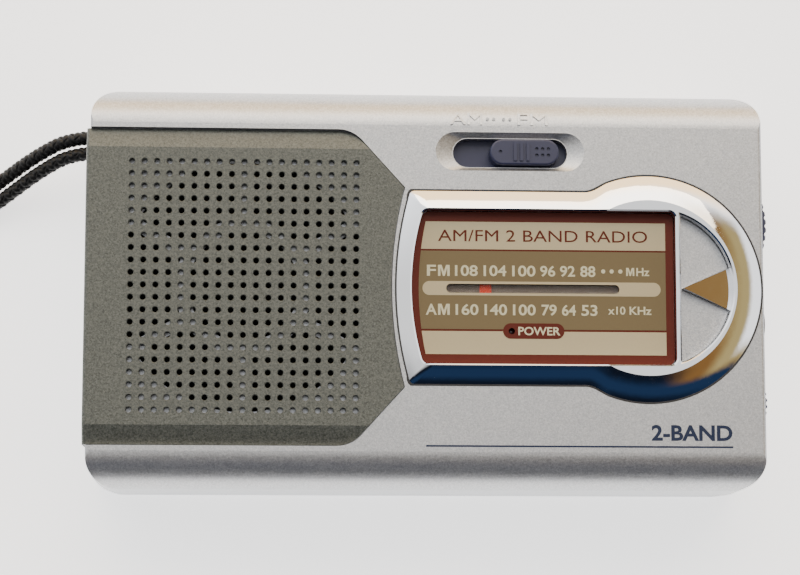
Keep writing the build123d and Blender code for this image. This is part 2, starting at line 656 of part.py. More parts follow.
def band_switch_knob():
    """The band switch's ribbed knob, its cover flange and the tongue in the switch."""
    cap = upright(stadium(KNOB_X, KNOB_Y), 24.1, KNOB_TOP_Z)
    top = cap.edges().group_by(Axis.Z)[-1]
    cap = fillet(top, 0.35)
    middle = (KNOB_X[0] + KNOB_X[1]) / 2
    ribs = []
    rib_y = (KNOB_Y[0] + 0.7, KNOB_Y[1] - 0.7)
    for index in range(3):
        x = middle - 1.9 + 1.1 * index
        ribs.append(box((x, x + 0.55), rib_y, (KNOB_TOP_Z - 0.1, KNOB_TOP_Z + 0.3)))
    cap = cap.fuse(*ribs)
    pits = [rod(KNOB_X[0] + 1.8, 23.45, (KNOB_TOP_Z - 0.35, 29), 0.3)]
    for column in range(3):
        for row in range(2):
            pits.append(rod(middle + 2.1 + 1.0 * column, 22.9 + 1.1 * row, (KNOB_TOP_Z - 0.35, 29), 0.3))
    cap = cap.cut(*pits)
    flange = box((2.0, 28.6), (20.2, 26.6), (23.55, 24.2))
    tongue = box((middle - 4.2, middle + 4.2), (22.2, 24.7), (21.0, 23.8))
    return cap + flange + tongue


def ferrite_rod():
    """The medium-wave aerial's ferrite rod."""
    rod_body = bar((-3.5, 35.5), 21.6, 12.6, 4.0)
    return chamfer(rod_body.edges().filter_by(GeomType.CIRCLE), 0.4)


def antenna_coil():
    """The coil wound on the ferrite rod, on its paper sleeve."""
    sleeve = bar((7.0, 25.0), 21.6, 12.6, 4.5) - bar((6, 26), 21.6, 12.6, 4.02)
    for index in range(14):
        x = 9.0 + 1.0 * index
        turn = bar((x, x + 0.7), 21.6, 12.6, 4.8) - bar((x - 1, x + 2), 21.6, 12.6, 4.4)
        sleeve += turn
    return sleeve


def rod_holders():
    """The two clips that hang the ferrite rod from the board."""
    clips = []
    for x in (2.4, 25.6):
        clip = box((x, x + 3.0), (16.4, 26.2), (7.6, BOARD_Z[0]))
        clip -= bar((x - 1, x + 4), 21.6, 12.6, 4.02)
        clip -= box((x - 1, x + 4), (20.0, 23.2), (7, 9.5))
        clips.append(clip)
    return Compound(clips)


def speaker_frame():
    """The speaker's pressed frame: rim, cone-shaped basket with four windows, back plate."""
    basket = revolved([
        (24.5, 24.4), (21.6, 24.4), (21.6, 23.9), (13.6, 15.9), (6.0, 15.9),
        (6.0, 15.0), (14.0, 15.0), (22.4, 23.2), (24.5, 23.2),
    ])
    for index in range(4):
        window = Rot(0, 0, 45 + 90 * index) * box((14.6, 20.8), (-5.5, 5.5), (10, 22.8))
        basket -= window
    return Pos(SPEAKER_X, 0, 0) * basket


def speaker_magnet():
    """The ring magnet with its pole plate."""
    ring = rod(SPEAKER_X, 0, (8.0, 15.0), 15.5)
    ring = chamfer(ring.edges().filter_by(GeomType.CIRCLE), 0.5)
    plate = rod(SPEAKER_X, 0, (6.6, 8.0), 13.5)
    pole = rod(SPEAKER_X, 0, (14.9, 18.0), 4.2)
    return ring + plate + pole


def speaker_cone():
    """The paper cone with its rolled edge and the voice-coil former."""
    shell = revolved([
        (21.5, 23.9), (21.5, 24.2), (20.4, 24.35), (19.0, 24.2), (17.8, 23.6), (5.6, 18.6),
        (5.1, 18.6), (5.1, 16.4), (5.5, 16.4), (5.5, 18.1), (18.1, 23.2), (19.2, 23.8), (20.4, 23.95),
    ])
    return Pos(SPEAKER_X, 0, 0) * shell


def speaker_dust_cap():
    """The domed cap over the voice coil."""
    dome = revolved([
        (0, 21.0), (2.4, 20.7), (4.6, 19.9), (6.4, 19.0), (6.4, 18.95),
        (6.0, 18.78), (4.4, 19.6), (2.3, 20.35), (0, 20.6),
    ])
    return Pos(SPEAKER_X, 0, 0) * dome


def speaker_clamps():
    """Four steel tabs that press the speaker's rim to the front shell."""
    tabs = []
    for angle in SPEAKER_SCREW_ANGLES:
        tab = box((23.0, 29.6), (-2.6, 2.6), (22.6, 23.2))
        tab = fillet(tab.edges().filter_by(Axis.Z), 1.0)
        tab -= rod(SPEAKER_SCREW_R, 0, (20, 25), 0.8)
        tabs.append(Pos(SPEAKER_X, 0, 0) * Rot(0, 0, angle) * tab)
    return Compound(tabs)


def speaker_screws():
    """The four small screws through the speaker's tabs."""
    screws = [screw_from_back(x, y, (21.4, 24.9), 0.8, 1.7, 1.2) for x, y in speaker_screw_places()]
    return Compound(screws)


def earphone_jack():
    """The 3.5 mm earphone socket, its nose in the end wall."""
    body = box((JACK_MOUTH_X - 14.5, RIGHT_X - 2.3), (JACK_Y - 3.4, JACK_Y + 3.4), (BOARD_Z[1], 24.3))
    body = chamfer(body.edges().filter_by(Axis.X), 0.5)
    nose = bar((RIGHT_X - 2.4, JACK_MOUTH_X), JACK_Y, JACK_Z, JACK_NOSE_R)
    nose = chamfer(nose.edges().group_by(Axis.X)[-1], 0.3)
    return body + nose - bar((JACK_MOUTH_X - JACK_L, JACK_MOUTH_X + 1), JACK_Y, JACK_Z, JACK_R)


def power_led():
    """The round lamp behind the dial plate, with its two wires."""
    x, y = LED_AT
    dome_z = POCKET_Z - LED_R
    lamp = rod(x, y, (21.4, dome_z), LED_R) + Pos(x, y, dome_z) * Sphere(LED_R - 0.02)
    lamp += rod(x, y, (21.0, 22.0), LED_R + 0.35)
    for side in (-0.8, 0.8):
        lamp += box((x + side - 0.25, x + side + 0.25), (y - 0.25, y + 0.25), (BOARD_Z[1], 21.1))
    return lamp


def if_cans():
    """The three tuned transformers in metal cans, each with its slug."""
    cans = []
    for x in (3.5, 12.0, 20.5):
        can = box((x - 3.5, x + 3.5), (3.2, 10.2), (8.0, BOARD_Z[0]))
        can = fillet(can.edges().filter_by(Axis.Z), 0.7)
        can -= rod(x, 6.7, (7, 9.0), 2.2)
        slug = rod(x, 6.7, (8.5, 9.2), 1.8) - box((x - 1.4, x + 1.4), (6.5, 6.9), (8, 8.9))
        cans.append(can + slug)
    return Compound(cans)


def radio_chip():
    """The receiver's integrated circuit, with two rows of legs."""
    body = box((30.4, 34.8), (2.4, 12.4), (15.2, 17.3))
    body = chamfer(body.edges().group_by(Axis.Z)[0], 0.3)
    for index in range(7):
        y = 3.1 + 1.27 * index
        body += box((29.4, 35.8), (y, y + 0.5), (16.1, 16.4))
        for x in (29.4, 35.4):
            body += box((x, x + 0.4), (y, y + 0.5), (16.1, BOARD_Z[0]))
    return body


def capacitors():
    """The electrolytic capacitors, standing under the board."""
    cans = []
    for x, y, radius in ((-3.2, 8.0, 2.5), (26.7, 2.4, 2.5), (40.0, 1.7, 2.0)):
        can = rod(x, y, (8.6, BOARD_Z[0]), radius)
        can = fillet(can.edges().group_by(Axis.Z)[0], 0.5)
        can -= rod(x, y, (10.0, 10.5), radius + 1) - rod(x, y, (10.0, 10.5), radius - 0.2)
        cans.append(can)
    return Compound(cans)


def battery_cell(y, nub_x, direction):
    """One AA cell, its nub's tip at nub_x and its body running in a direction along X."""
    plane = Pos(nub_x, y, CELL_Z) * Rot(0, 90 * direction, 0)
    upright_z = (Align.CENTER, Align.CENTER, Align.MIN)
    body = Pos(0, 0, 1.2) * Cylinder(CELL_R, CELL_L - 1.2, align=upright_z)
    body = fillet(body.edges().filter_by(GeomType.CIRCLE), 0.5)
    nub = Cylinder(2.7, 1.5, align=upright_z)
    nub = fillet(nub.edges().group_by(Axis.Z)[0], 0.3)
    return plane * (body + nub)


def battery_contacts():
    """The four contact plates at the ends of the battery bay."""
    plates = []
    for y in CELL_Y:
        for x in (BAY_X[0] + 0.1, BAY_X[1] - 1.1):
            plate = box((x, x + 0.5), (y - 4.2, y + 4.2), (4.6, 13.8))
            plates.append(fillet(plate.edges().filter_by(Axis.X), 1.0))
    return Compound(plates)


def battery_spring(y, x, direction):
    """One coil spring, from its plate at x towards the cell."""
    coil = Helix(pitch=1.75, height=5.6, radius=3.2, cone_angle=6)
    section = Plane(origin=coil @ 0, z_dir=coil % 0) * Circle(0.35)
    wire = sweep(section, path=coil, is_frenet=True)
    return Pos(x, y, CELL_Z) * Rot(0, 90 * direction, 0) * Pos(0, 0, 0.36) * wire


def battery_springs():
    """The two springs that press the cells."""
    return Compound([
        battery_spring(CELL_Y[0], BAY_X[1] - 1.1, -1),
        battery_spring(CELL_Y[1], BAY_X[0] + 0.6, 1),
    ])


def aerial_knuckle():
    """The aerial's turning end: a barrel on the pivot and a neck into the first tube."""
    barrel = rod(AERIAL_PIVOT_X, AERIAL_Y, (CHANNEL_Z[0] + 0.1, CHANNEL_Z[1] - 0.1), 2.6)
    barrel = chamfer(barrel.edges().filter_by(GeomType.CIRCLE), 0.3)
    neck = bar((AERIAL_START_X, AERIAL_PIVOT_X - 1.5), AERIAL_Y, AERIAL_Z, 1.7)
    return barrel + neck - rod(AERIAL_PIVOT_X, AERIAL_Y, (0, 10), AERIAL_SCREW_R + RUNNING)


def aerial_section(index):
    """One tube of the telescopic aerial; the last is the solid rod."""
    radius = AERIAL_RADII[index]
    x = (AERIAL_END_X - 0.8 * index, AERIAL_START_X - 1.2 * index)
    tube = bar(x, AERIAL_Y, AERIAL_Z, radius)
    tube = chamfer(tube.edges().filter_by(GeomType.CIRCLE), 0.15)
    if index + 1 < len(AERIAL_RADII):
        bore = AERIAL_RADII[index + 1] + AERIAL_GAP
        blind = x[1] - 1.0 if index else x[1]
        tube -= bar((x[0] - 1, blind), AERIAL_Y, AERIAL_Z, bore)
    if index == 0:
        tube += bar((AERIAL_START_X - 0.8, AERIAL_START_X), AERIAL_Y, AERIAL_Z, 2.3)
    return tube


def aerial_tip():
    """The cap on the aerial's rod."""
    start = AERIAL_END_X - 0.8 * 3
    cap = bar((start - 3.6, start), AERIAL_Y, AERIAL_Z, 2.4)
    return fillet(cap.edges().filter_by(GeomType.CIRCLE), 0.5)


def pcb_screws():
    """The two screws that hold the board to the front shell."""
    screws = [screw_from_back(x, y, (16.6, 22.8), SCREW_R * 0.8, 1.9, 1.1) for x, y in BOARD_SCREWS_AT]
    return Compound(screws)


def case_screws():
    """The four screws that hold the two shells together."""
    screws = [screw_from_back(x, y, (3.6, 19.5), SCREW_R, 2.2, 1.4) for x, y in CASE_SCREWS_AT]
    return Compound(screws)


def wire(points, radius, bend):
    """A round wire along straight runs joined by arcs."""
    path = FilletPolyline(*points, radius=bend)
    section = Plane(origin=path @ 0, z_dir=path % 0) * Circle(radius)
    return sweep(section, path=path)


def speaker_leads():
    """The two wires from the speaker's terminals to the board."""
    leads = []
    for shift in (0, 2.4):
        leads.append(wire([
            (-16.3, -2.0 - shift, 12.5), (-11.0, -2.0 - shift, 11.5), (-6.0, -6.0 - shift, 12.5),
            (-5.2, -6.0 - shift, 17.6),
        ], 0.45, 1.5))
    return Compound(leads)


def battery_leads():
    """The two wires from the battery bay's contacts to the board."""
    leads = []
    for shift in (0, 2.0):
        leads.append(wire([
            (-4.6, -11.0 - shift, 9.0), (-5.9, -11.0 - shift, 9.6), (-5.9, -13.0 - shift, 17.5),
        ], 0.45, 1.0))
    return Compound(leads)


def aerial_lead():
    """The wire from the aerial's screw to the board."""
    return wire([
        (48.5, 31.0, 11.3), (44.5, 27.0, 13.4), (40.0, 24.8, 14.0), (39.6, 24.6, 17.6),
    ], 0.45, 1.0)


def strap_radii():
    """The largest bend radius that each corner of the strap's route leaves room for."""
    points = [Vector(*p) for p in STRAP_POINTS]
    radii = []
    for before, here, after in zip(points, points[1:], points[2:]):
        run_in = here - before
        run_out = after - here
        half_turn = math.radians(run_in.get_angle(run_out)) / 2
        radii.append(0.45 * min(run_in.length, run_out.length) / math.tan(half_turn))
    return radii


def wrist_strap():
    """The wrist strap: one cord, out of the case, round its loop and back."""
    radii = strap_radii()
    path = FilletPolyline(*STRAP_POINTS, radius=radii)
    section = Plane(origin=path @ 0, z_dir=path % 0) * Circle(STRAP_R)
    strap = sweep(section, path=path)
    ratio = strap.volume / (math.pi * STRAP_R ** 2 * path.length)
    print("strap length", round(path.length, 1), "tightest bend", round(min(radii), 1))
    print("strap volume over section times length", round(ratio, 4))
    return strap


def strap_crimp():
    """The metal crimp inside the case that holds both ends of the strap."""
    crimp = box((-57.0, -52.6), (STRAP_Y - 3.2, STRAP_Y + 2.8), (STRAP_Z - 1.9, STRAP_Z + 1.9))
    return fillet(crimp.edges().filter_by(Axis.X), 0.8)


def aerial_screw():
    """The pivot screw of the aerial."""
    return screw_from_back(AERIAL_PIVOT_X, AERIAL_Y, (0.1, 10.8), AERIAL_SCREW_R, 2.2, 0.95)


PARTS = {
    "front_case": front_case(),
    "rear_case": rear_case(),
    "battery_door": battery_door(),
    "speaker_grille": speaker_grille(),
    "dial_bezel": dial_bezel(),
    "dial_plate": dial_plate(),
    "dial_window": dial_window(),
    "dial_backing": dial_backing(),
    "dial_pointer": dial_pointer(),
    "pointer_rail": pointer_rail(),
    "dial_cord": dial_cord(),
    "cord_pulley": cord_pulley(),
    "pulley_pin": pulley_pin(),
    "tuning_wheel": tuning_wheel(),
    "tuning_wheel_screw": cross_screw(*TUNING_AT, (18.4, 23.9), 1.3, 2.2, 0.7),
    "tuning_shaft": tuning_shaft(),
    "tuning_capacitor": tuning_capacitor(),
    "volume_wheel": volume_wheel(),
    "volume_wheel_screw": cross_screw(*VOLUME_AT, (20.2, 23.1), 1.0, 2.0, 0.6),
    "volume_shaft": volume_shaft(),
    "volume_pot": volume_pot(),
    "circuit_board": circuit_board(),
    "band_switch_body": band_switch_body(),
    "band_switch_knob": band_switch_knob(),
    "ferrite_rod": ferrite_rod(),
    "antenna_coil": antenna_coil(),
    "rod_holders": rod_holders(),
    "speaker_frame": speaker_frame(),
    "speaker_magnet": speaker_magnet(),
    "speaker_cone": speaker_cone(),
    "speaker_dust_cap": speaker_dust_cap(),
    "speaker_clamps": speaker_clamps(),
    "speaker_screws": speaker_screws(),
    "earphone_jack": earphone_jack(),
    "power_led": power_led(),
    "if_cans": if_cans(),
    "radio_chip": radio_chip(),
    "capacitors": capacitors(),
    "battery_cell_1": battery_cell(CELL_Y[0], BAY_X[0] + 0.7, 1),
    "battery_cell_2": battery_cell(CELL_Y[1], BAY_X[1] - 1.2, -1),
    "battery_contacts": battery_contacts(),
    "battery_springs": battery_springs(),
    "aerial_knuckle": aerial_knuckle(),
    "aerial_section_1": aerial_section(0),
    "aerial_section_2": aerial_section(1),
    "aerial_section_3": aerial_section(2),
    "aerial_section_4": aerial_section(3),
    "aerial_tip": aerial_tip(),
    "aerial_screw": aerial_screw(),
    "aerial_lead": aerial_lead(),
    "case_screws": case_screws(),
    "pcb_screws": pcb_screws(),
    "speaker_leads": speaker_leads(),
    "battery_leads": battery_leads(),
    "wrist_strap": wrist_strap(),
    "strap_crimp": strap_crimp(),
}

os.makedirs("parts", exist_ok=True)
for name, shape in PARTS.items():
    export_step(Pos(-MIDDLE_X, 0, 0) * shape, "parts/" + name + ".step")
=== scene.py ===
import json
import math

import bmesh
import bpy
from mathutils import Matrix, Vector


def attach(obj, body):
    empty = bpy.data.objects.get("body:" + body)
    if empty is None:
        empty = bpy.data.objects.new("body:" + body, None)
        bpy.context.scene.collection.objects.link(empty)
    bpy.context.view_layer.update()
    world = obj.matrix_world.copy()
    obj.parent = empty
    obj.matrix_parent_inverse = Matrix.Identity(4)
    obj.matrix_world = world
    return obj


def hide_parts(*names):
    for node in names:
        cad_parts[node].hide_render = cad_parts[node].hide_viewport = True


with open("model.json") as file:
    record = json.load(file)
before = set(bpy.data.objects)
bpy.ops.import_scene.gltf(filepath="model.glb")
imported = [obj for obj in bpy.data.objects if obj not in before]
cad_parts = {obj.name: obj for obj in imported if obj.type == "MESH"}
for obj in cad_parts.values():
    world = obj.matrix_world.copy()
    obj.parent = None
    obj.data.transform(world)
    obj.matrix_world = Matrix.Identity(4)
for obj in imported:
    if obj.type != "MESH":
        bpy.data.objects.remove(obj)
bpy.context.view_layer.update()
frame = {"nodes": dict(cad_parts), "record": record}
NODES = frame["nodes"]

MM = 0.001

# ---- places on the front, in millimetres, as the part's own source has them ----
# The source lays the front out about its dial, and moves it by SHIFT_X to its middle.
SHIFT_X = 1.0
FACE_Z = 27.0
PLATE_Z = 26.4
FRONT_EDGE_START = 28.0
FRONT_EDGE_R = 6.5
PRINT_THICK = 0.03
BOLD = 0.02
CIRCLE_SIDES = 24

# ---- the dial's print ----
SLOT_X = (2.1, 31.8)
SLOT_Y = (-0.88, 0.67)
LED_AT = (13.3, -7.4)
LED_HOLE_R = 0.55
FIELD_LEFT = -2.6
FIELD_RIGHT = 39.8
FIELD_CURVE = 1.2
FIELD_HALF_H = 11.4
FIELD_STEPS = 12
NOTCH_HALF = 0.7
TOP_FIELD_Y = (6.65, FIELD_HALF_H)
MIDDLE_FIELD_Y = (-7.1, 6.35)
BOTTOM_FIELD_Y = (-FIELD_HALF_H, -7.45)
SCALE_PILL_X = (-1.95, 38.9)
SCALE_PILL_Y = (-1.3, 1.1)
POWER_PILL_X = (11.8, 22.3)
POWER_PILL_Y = (-8.7, -6.05)
POWER_WORD_X = (14.4, 21.6)
POWER_WORD_Y = (-8.1, -6.65)
TITLE_X = (0.7, 36.7)
TITLE_Y = (8.0, 10.0)
FM_DOTS_X = (29.05, 30.5, 32.0)
FM_DOTS_Y = 3.0
FM_DOT_R = 0.36
# Each row: its name, its limits along Y, and each word with its limits along X.
ROWS = (
    ("fm", (2.0, 3.9), (("F", -1.2, 0.35), ("M", 0.7, 2.7), ("108", 3.6, 7.5), ("104", 8.5, 12.4),
                        ("100", 13.4, 17.4), ("96", 18.2, 20.8), ("92", 21.6, 24.2), ("88", 25.1, 27.7))),
    ("fm_unit", (2.25, 3.65), (("M", 33.0, 34.4), ("Hz", 34.75, 37.0))),
    ("am", (-4.7, -2.8), (("A", -1.4, 0.5), ("M", 0.7, 2.7), ("160", 3.7, 7.6), ("140", 8.65, 12.5),
                          ("100", 13.5, 17.4), ("79", 18.4, 21.0), ("64", 21.9, 24.3), ("53", 25.25, 28.0))),
    ("am_unit", (-4.45, -3.05), (("x10", 29.8, 32.8), ("KHz", 33.5, 37.3))),
)
# The corners of a letter M, in a square of 1 by 1.
LETTER_M = ((0, 0), (0, 1), (0.3, 1), (0.5, 0.4), (0.7, 1), (1, 1), (1, 0),
            (0.79, 0), (0.79, 0.74), (0.58, 0), (0.42, 0), (0.21, 0.74), (0.21, 0))

# ---- the marks on the case ----
BAND_WORD_X = (36.95, 50.8)
BAND_WORD_Y = (-26.0, -23.3)
BAND_WORD_BOLD = 0.03
TRIM_LINE_X = (-1.4, 50.9)
TRIM_LINE_Y = (-27.2, -26.9)
RAISED_AM_X = (2.8, 8.3)
RAISED_FM_X = (14.4, 19.6)
RAISED_Y = (28.2, 30.3)
RAISED_DOTS_X = (9.2, 10.3, 12.0, 13.1)
RAISED_DOTS_Y = 29.2
RAISED_DOT_R = 0.27
RAISED_THICK = 0.3
RAISED_SUNK = 0.05

# ---- the bezel's edge ----
BEZEL_HALF_H = 16.6
BEZEL_LEFT = -4.0
BEZEL_BULGE = 2.4
BEZEL_BULGE_END = 15
BEZEL_CIRCLE_X = 36.7
BEZEL_CIRCLE_R = 19.5
BEZEL_S_START = 25.8
BEZEL_S_STEPS = 12
BEZEL_TURN = 110
BEZEL_ROUND_STEPS = 60
# The left corner's points, from where the left edge and the upper edge would meet.
BEZEL_CORNER = ((-0.35, -0.9), (-0.1, -0.35), (0.3, 0))
# Width of the black sheet round the bezel, a painted shadow of the gap.
BEZEL_SHADOW_W = 0.3

# ---- the strap's route: the same points as in the part's source ----
STRAP_R = 1.3
STRAP_POINTS = (
    (-57.0, 28.4, 10.9),
    (-63.1, 28.4, 10.9),
    (-69.9, 25.2, 8.3),
    (-76.0, 21.4, 4.6),
    (-82.4, 17.3, 1.3),
    (-89.8, 12.1, 1.3),
    (-97.0, 5.2, 1.3),
    (-103.4, -4.9, 1.3),
    (-108.5, -16.0, 1.3),
    (-113.2, -27.0, 1.3),
    (-116.0, -38.5, 1.3),
    (-114.6, -50.0, 1.3),
    (-107.2, -57.4, 1.3),
    (-97.5, -56.2, 1.3),
    (-91.5, -47.2, 1.3),
    (-91.0, -35.6, 1.3),
    (-93.5, -24.3, 1.3),
    (-95.0, -13.0, 1.3),
    (-93.0, -2.0, 1.3),
    (-87.4, 7.6, 1.3),
    (-80.8, 15.0, 1.3),
    (-74.6, 19.0, 4.6),
    (-68.7, 22.7, 8.3),
    (-62.5, 25.6, 10.9),
    (-57.0, 25.6, 10.9),
)

# ---- camera: from above, a little left and below ----
CAMERA_PLACE = (-0.026965, -0.055844, 0.439285)
CAMERA_FORWARD = (0.05316, 0.13371, -0.98959)
CAMERA_UP = (-0.00822, 0.99102, 0.13346)
CAMERA_LENS = 110.25


def make_camera():
    """The camera, turned by its viewing direction and its upward direction."""
    data = bpy.data.cameras.new("camera")
    data.lens = CAMERA_LENS
    data.sensor_width = 36.0
    data.clip_start = 0.01
    camera = bpy.data.objects.new("camera", data)
    back = -Vector(CAMERA_FORWARD).normalized()
    side = Vector(CAMERA_UP).cross(back).normalized()
    up = back.cross(side)
    turn = Matrix((side, up, back)).transposed()
    camera.matrix_world = Matrix.Translation(CAMERA_PLACE) @ turn.to_4x4()
    bpy.context.scene.collection.objects.link(camera)
    bpy.context.scene.camera = camera


make_camera()


# ---- materials ----
CELL_BAND_START = 38
MOULDED_SPREAD = 0.08


class Shader:
    """A material under construction, with short ways to add its nodes."""

    def __init__(self, name):
        self.material = bpy.data.materials.new(name)
        self.material.use_nodes = True
        self.tree = self.material.node_tree
        self.main = self.tree.nodes["Principled BSDF"]
        self.place = self.add("ShaderNodeTexCoord").outputs["Object"]

    def add(self, kind, **settings):
        """A node of a kind, with its settings."""
        node = self.tree.nodes.new(kind)
        for key, value in settings.items():
            setattr(node, key, value)
        return node

    def feed(self, socket, value):
        """Links an output to a socket, or sets the socket's number or colour."""
        if isinstance(value, bpy.types.NodeSocket):
            self.tree.links.new(value, socket)
        elif isinstance(value, tuple) and len(value) == 3 and socket.type == "RGBA":
            socket.default_value = (*value, 1)
        else:
            socket.default_value = value

    def set(self, **values):
        """Sets or links sockets of the main shader, by their names with underscores."""
        for key, value in values.items():
            self.feed(self.main.inputs[key.replace("_", " ")], value)

    def stretched(self, scale):
        """The place, scaled differently along each axis."""
        node = self.add("ShaderNodeMapping")
        self.feed(node.inputs["Vector"], self.place)
        self.feed(node.inputs["Scale"], scale)
        return node.outputs["Vector"]

    def noise(self, size, detail=2.0, vector=None):
        """Smooth noise whose features are about a size in millimetres."""
        node = self.add("ShaderNodeTexNoise")
        self.feed(node.inputs["Vector"], vector or self.place)
        self.feed(node.inputs["Scale"], 1 / (size * MM))
        self.feed(node.inputs["Detail"], detail)
        return node.outputs["Fac"]

    def flakes(self, size):
        """A random value in each cell of about a size in millimetres."""
        node = self.add("ShaderNodeTexVoronoi")
        self.feed(node.inputs["Vector"], self.place)
        self.feed(node.inputs["Scale"], 1 / (size * MM))
        split = self.add("ShaderNodeSeparateColor")
        self.feed(split.inputs["Color"], node.outputs["Color"])
        return split.outputs["Red"]

    def ranged(self, value, low, high, start=0.0, end=1.0):
        """A value between start and end brought to the range from low to high."""
        node = self.add("ShaderNodeMapRange")
        given = {"Value": value, "From Min": start, "From Max": end, "To Min": low, "To Max": high}
        for name, number in given.items():
            self.feed(node.inputs[name], number)
        return node.outputs["Result"]

    def sum(self, first, second, kind="ADD"):
        """Two values added, or joined by another kind of arithmetic."""
        node = self.add("ShaderNodeMath", operation=kind)
        self.feed(node.inputs[0], first)
        self.feed(node.inputs[1], second)
        return node.outputs[0]

    def mixed(self, share, first, second):
        """Two colours mixed by a share."""
        node = self.add("ShaderNodeMix", data_type="RGBA")
        self.feed(node.inputs["Factor"], share)
        self.feed(node.inputs[6], first)
        self.feed(node.inputs[7], second)
        return node.outputs[2]

    def bump(self, height, depth, strength):
        """Relief from a height between 0 and 1, of a depth in millimetres."""
        node = self.add("ShaderNodeBump")
        self.feed(node.inputs["Height"], height)
        self.feed(node.inputs["Distance"], depth * MM)
        self.feed(node.inputs["Strength"], strength)
        self.feed(self.main.inputs["Normal"], node.outputs["Normal"])


def flake_paint(name, dark, light, flake_size, metallic, rough, relief):
    """Metallic paint: fine bright and dark flakes under a thin clear film."""
    s = Shader(name)
    flakes = s.flakes(flake_size)
    cloud = s.noise(flake_size * 2.2, 3.0)
    grain = s.sum(s.ranged(flakes, 0.0, 0.6), s.ranged(cloud, 0.0, 0.4, 0.3, 0.7))
    s.set(Base_Color=s.mixed(grain, dark, light), Metallic=metallic)
    s.set(Roughness=s.ranged(flakes, rough - 0.06, rough + 0.1))
    s.set(Coat_Weight=0.12, Coat_Roughness=0.22)
    s.bump(grain, relief, 0.6)
    return s.material


def silver_case():
    return flake_paint("silver_case", (0.40, 0.41, 0.425), (0.66, 0.67, 0.685), 0.16, 0.85, 0.34, 0.012)


def grille_paint():
    return flake_paint("grille_paint", (0.045, 0.051, 0.046), (0.165, 0.178, 0.162), 0.19, 0.4, 0.5, 0.02)


def chrome():
    s = Shader("chrome")
    ripple = s.noise(9.0, 2.0)
    s.set(Base_Color=(0.93, 0.935, 0.95), Metallic=1.0)
    s.set(Roughness=s.ranged(s.noise(1.5, 4.0), 0.03, 0.09, 0.35, 0.7))
    s.bump(ripple, 0.05, 0.35)
    return s.material


def moulded(name, base, rough, grain=0.25, depth=0.008):
    """Moulded plastic: a fine texture, a faint variation of colour and gloss."""
    s = Shader(name)
    texture = s.noise(grain, 3.0)
    patch = s.noise(6.0, 3.0)
    dark = tuple(c * (1 - MOULDED_SPREAD) for c in base)
    light = tuple(min(c * (1 + MOULDED_SPREAD), 1) for c in base)
    s.set(Base_Color=s.mixed(patch, dark, light))
    s.set(Roughness=s.ranged(texture, rough - 0.05, rough + 0.08))
    s.bump(texture, depth, 0.5)
    return s.material


def printed_ink(name, base, rough=0.42):
    """A printed ink: nearly even, with a faint mottle and orange peel."""
    s = Shader(name)
    mottle = s.noise(0.5, 3.0)
    dark = tuple(c * 0.94 for c in base)
    s.set(Base_Color=s.mixed(mottle, dark, base), Specular_IOR_Level=0.15)
    s.set(Roughness=s.ranged(s.noise(2.0, 2.0), rough - 0.06, rough + 0.06))
    s.bump(mottle, 0.004, 0.4)
    return s.material


def clear_plastic():
    s = Shader("clear_plastic")
    s.set(Base_Color=(0.93, 0.91, 0.88), Transmission_Weight=1.0, IOR=1.2)
    s.set(Roughness=s.ranged(s.noise(1.2, 3.0), 0.12, 0.22))
    return s.material


def plated(name, base, rough, grind=(1, 1, 1)):
    """Plated or pressed metal, with fine marks along one way and faint stains."""
    s = Shader(name)
    marks = s.noise(0.15, 4.0, s.stretched(grind))
    stain = s.noise(3.0, 4.0)
    dark = tuple(c * 0.82 for c in base)
    s.set(Base_Color=s.mixed(s.ranged(stain, 0, 1, 0.3, 0.7), dark, base), Metallic=1.0)
    s.set(Roughness=s.ranged(marks, rough - 0.06, rough + 0.12))
    s.bump(marks, 0.004, 0.5)
    return s.material


def board():
    s = Shader("board")
    fibre = s.noise(0.4, 5.0, s.stretched((1, 0.25, 1)))
    cloud = s.noise(9.0, 3.0)
    lower = s.mixed(fibre, (0.22, 0.11, 0.035), (0.34, 0.19, 0.07))
    s.set(Base_Color=s.mixed(s.ranged(cloud, 0, 0.5), lower, (0.26, 0.14, 0.05)))
    s.set(Roughness=s.ranged(fibre, 0.4, 0.6))
    s.bump(fibre, 0.01, 0.5)
    return s.material


def copper_wire():
    s = Shader("copper_wire")
    wave = s.add("ShaderNodeTexWave", bands_direction="X")
    s.feed(wave.inputs["Vector"], s.place)
    s.feed(wave.inputs["Scale"], 1 / (1.3 * MM))
    s.set(Base_Color=s.mixed(wave.outputs["Fac"], (0.30, 0.09, 0.03), (0.62, 0.27, 0.12)), Metallic=0.8)
    s.set(Roughness=s.ranged(s.noise(0.3), 0.25, 0.4))
    s.bump(wave.outputs["Fac"], 0.05, 0.5)
    return s.material


def paper_cone():
    s = Shader("paper_cone")
    pulp = s.noise(0.5, 6.0)
    s.set(Base_Color=s.mixed(pulp, (0.012, 0.012, 0.012), (0.045, 0.043, 0.04)))
    s.set(Roughness=s.ranged(pulp, 0.8, 0.95))
    s.bump(pulp, 0.05, 0.6)
    return s.material


def cell_jacket():
    s = Shader("cell_jacket")
    split = s.add("ShaderNodeSeparateXYZ")
    s.feed(split.inputs["Vector"], s.place)
    band = s.sum(split.outputs["X"], CELL_BAND_START * MM, "GREATER_THAN")
    scuff = s.noise(2.0, 5.0)
    body = s.mixed(scuff, (0.02, 0.022, 0.025), (0.05, 0.05, 0.055))
    s.set(Base_Color=s.mixed(band, body, (0.62, 0.36, 0.16)), Metallic=0.35)
    s.set(Roughness=s.ranged(scuff, 0.2, 0.4))
    s.bump(scuff, 0.01, 0.3)
    return s.material


